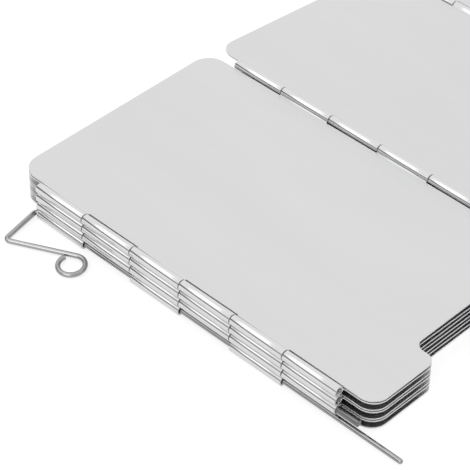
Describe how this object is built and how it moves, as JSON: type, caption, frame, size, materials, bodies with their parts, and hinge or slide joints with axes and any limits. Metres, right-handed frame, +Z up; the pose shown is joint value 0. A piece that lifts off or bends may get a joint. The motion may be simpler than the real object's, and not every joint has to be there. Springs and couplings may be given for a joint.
{
  "type": "folding stove windscreen",
  "caption": "Folding camp-stove windscreen of aluminium sheet panels on rolled pin hinges, partly folded flat, with a sliding wire ground peg at each free edge.",
  "frame": {"origin": "on the table under the middle of the whole object as it lies", "axes": "+X across the panels from the folded stack to the open panels, +Y from the feet to the top edges along the hinges, +Z up from the table"},
  "size_m": [0.2616, 0.1436, 0.0123],
  "materials": {
    "sheet": "satin rolled sheet",
    "hinge_pin": "drawn wire",
    "peg_wire": "bright bent wire"
  },
  "bodies": {
    "panel_1": {"panel_1": "sheet", "hinge_pin_1": "hinge_pin"},
    "panel_2": {"panel_2": "sheet", "hinge_pin_2": "hinge_pin"},
    "panel_3": {"panel_3": "sheet", "hinge_pin_3": "hinge_pin"},
    "panel_4": {"panel_4": "sheet", "hinge_pin_4": "hinge_pin"},
    "panel_5": {"panel_5": "sheet", "hinge_pin_5": "hinge_pin"},
    "panel_6": {"panel_6": "sheet", "hinge_pin_6": "hinge_pin"},
    "panel_7": {"panel_7": "sheet", "hinge_pin_7": "hinge_pin"},
    "panel_8": {"panel_8": "sheet", "hinge_pin_8": "hinge_pin"},
    "panel_9": {"panel_9": "sheet"},
    "ground_peg_1": {"ground_peg_1": "peg_wire"},
    "ground_peg_2": {"ground_peg_2": "peg_wire"}
  },
  "joints": [
    {"name": "hinge_1", "type": "hinge", "parent": "panel_1", "child": "panel_2", "pos_m": [-0.03882, 0.00575, 0.0015], "axis": [0, 1, 0], "range_deg": [0, 177.7]},
    {"name": "hinge_2", "type": "hinge", "parent": "panel_2", "child": "panel_3", "pos_m": [-0.11676, 0.00575, 0.0046], "axis": [0, -1, 0], "range_deg": [0, 177.7]},
    {"name": "hinge_3", "type": "hinge", "parent": "panel_3", "child": "panel_4", "pos_m": [-0.03875, 0.00575, 0.0046], "axis": [0, 1, 0], "range_deg": [0, 177.7]},
    {"name": "hinge_4", "type": "hinge", "parent": "panel_4", "child": "panel_5", "pos_m": [-0.1167, 0.00575, 0.0077], "axis": [0, -1, 0], "range_deg": [0, 177.7]},
    {"name": "hinge_5", "type": "hinge", "parent": "panel_5", "child": "panel_6", "pos_m": [-0.03869, 0.00575, 0.0077], "axis": [0, 1, 0], "range_deg": [0, 177.7]},
    {"name": "hinge_6", "type": "hinge", "parent": "panel_6", "child": "panel_7", "pos_m": [-0.11663, 0.00575, 0.0108], "axis": [0, -1, 0], "range_deg": [0, 177.7]},
    {"name": "hinge_7", "type": "hinge", "parent": "panel_7", "child": "panel_8", "pos_m": [-0.03863, 0.00575, 0.0108], "axis": [0, 1, 0], "range_deg": [-184.5, 0]},
    {"name": "hinge_8", "type": "hinge", "parent": "panel_8", "child": "panel_9", "pos_m": [0.03882, 0.00575, 0.0015], "axis": [0, -1, 0], "range_deg": [-175, 90]},
    {"name": "peg_1_slide", "type": "slide", "parent": "panel_1", "child": "ground_peg_1", "axis": [0, 1, 0], "range_m": [0, 0.09]},
    {"name": "peg_2_slide", "type": "slide", "parent": "panel_9", "child": "ground_peg_2", "axis": [0, 1, 0], "range_m": [-0.0186, 0.069]}
  ],
  "couplings": [
    {"joint": "hinge_2", "follows": "hinge_1", "ratio": 1},
    {"joint": "hinge_4", "follows": "hinge_3", "ratio": 1},
    {"joint": "hinge_6", "follows": "hinge_5", "ratio": 1}
  ]
}
